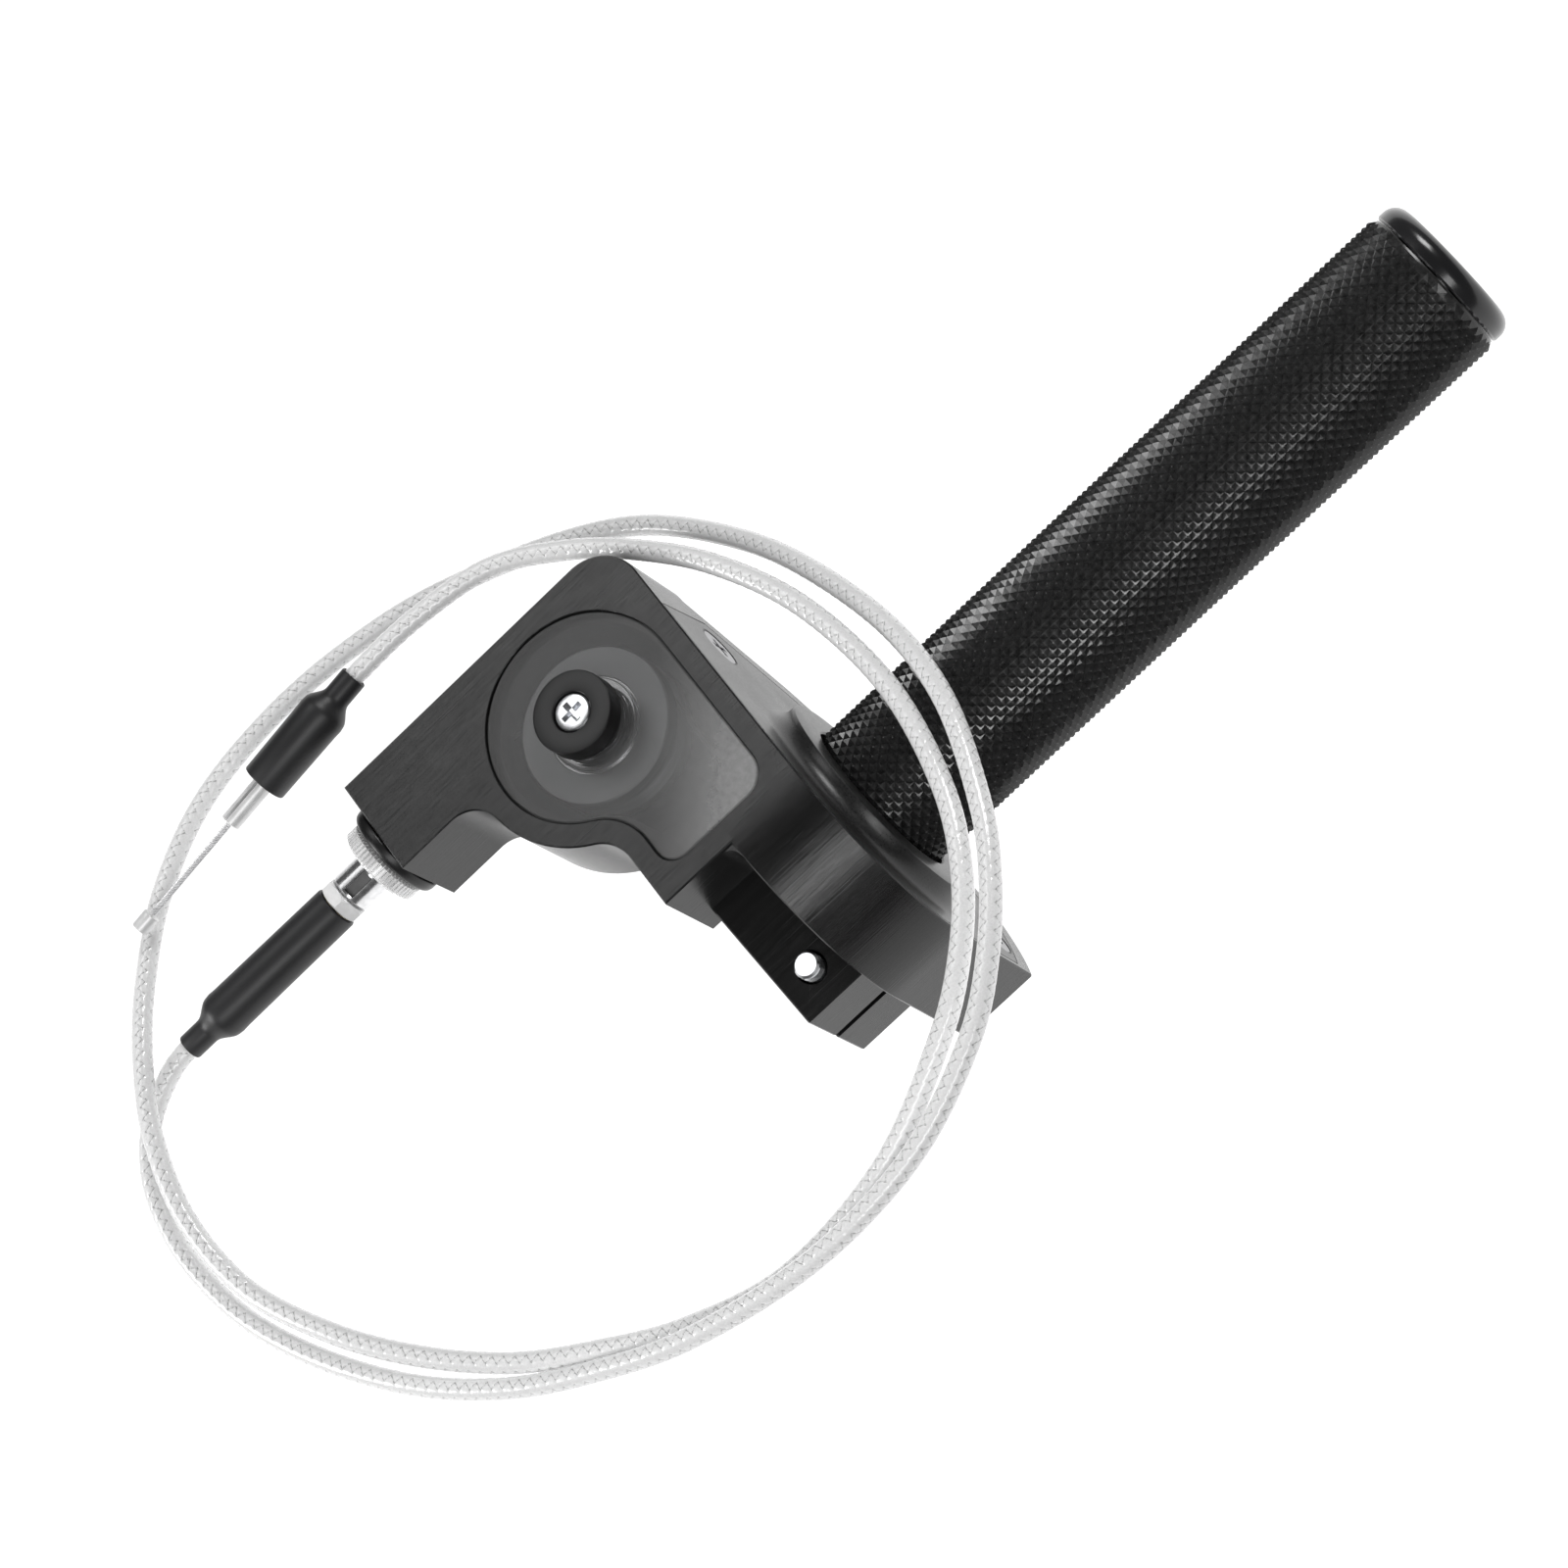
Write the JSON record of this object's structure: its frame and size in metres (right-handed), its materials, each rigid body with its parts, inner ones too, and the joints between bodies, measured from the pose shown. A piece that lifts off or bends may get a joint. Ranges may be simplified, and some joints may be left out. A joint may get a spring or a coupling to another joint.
{
  "type": "throttle grip",
  "caption": "Knurled twist throttle with a clamp-on pulley housing, smoked window, cable adjuster and a coiled braided cable.",
  "frame": {"origin": "on the handlebar's axis, inside the split clamp", "axes": "+X along the handlebar to the grip's outer end, +Z out of the pulley window, +Y from the bar to the pulley"},
  "size_m": [0.2864, 0.1676, 0.0845],
  "materials": {
    "anodised": "brushed, black anodised",
    "plain_aluminium": "turned",
    "smoked_window": "smoked, clear",
    "bright_steel": "bright zinc",
    "dark_steel": "black zinc",
    "plated": "polished plating",
    "black_plastic": "smooth gloss",
    "drum_plastic": "satin",
    "boot_rubber": "satin",
    "clear_braid": "clear coat over a silver braid"
  },
  "bodies": {
    "housing": {"main_housing": "anodised", "window_cover": "smoked_window", "drum_cover": "anodised", "cover_screw_1": "dark_steel", "cover_screw_2": "dark_steel", "cover_screw_3": "dark_steel", "pinch_bolt": "bright_steel", "pulley_bearing": "bright_steel", "pulley_axle": "bright_steel", "axle_knob": "black_plastic", "knob_screw": "bright_steel", "inner_wire_run": "bright_steel", "flange_washer": "anodised", "knurled_lock_nut": "plated", "cable_adjuster": "plated", "adjuster_hex_nut": "plated", "cable_ferrule": "plated", "adjuster_boot": "boot_rubber", "outer_cable": "clear_braid", "carb_end_boot": "boot_rubber", "carb_end_sleeve": "plated"},
    "rotor": {"throttle_tube": "anodised", "end_cap": "black_plastic", "cable_drum": "drum_plastic", "drum_washer": "drum_plastic", "inner_wire_wrap": "bright_steel", "drum_nipple": "bright_steel"},
    "pulley": {"pulley_wheel": "plain_aluminium"},
    "carburettor_wire": {"carb_inner_wire": "bright_steel", "carb_nipple": "plated"}
  },
  "joints": [
    {"name": "throttle_twist", "type": "hinge", "parent": "housing", "child": "rotor", "pos_m": [0, 0, 0], "axis": [1, 0, 0], "range_deg": [0, 60]},
    {"name": "pulley_spin", "type": "hinge", "parent": "housing", "child": "pulley", "pos_m": [-0.0002, 0.0359, 0.0208], "axis": [0, 0, 1], "range_deg": [-97, 0]},
    {"name": "carburettor_wire_slide", "type": "slide", "parent": "housing", "child": "carburettor_wire", "axis": [0.9933, 0.1156, 0], "range_m": [0, 0.022]}
  ],
  "couplings": [
    {"joint": "pulley_spin", "follows": "throttle_twist", "ratio": -1.6124},
    {"joint": "carburettor_wire_slide", "follows": "throttle_twist", "m_per_rad": 0.0208}
  ]
}
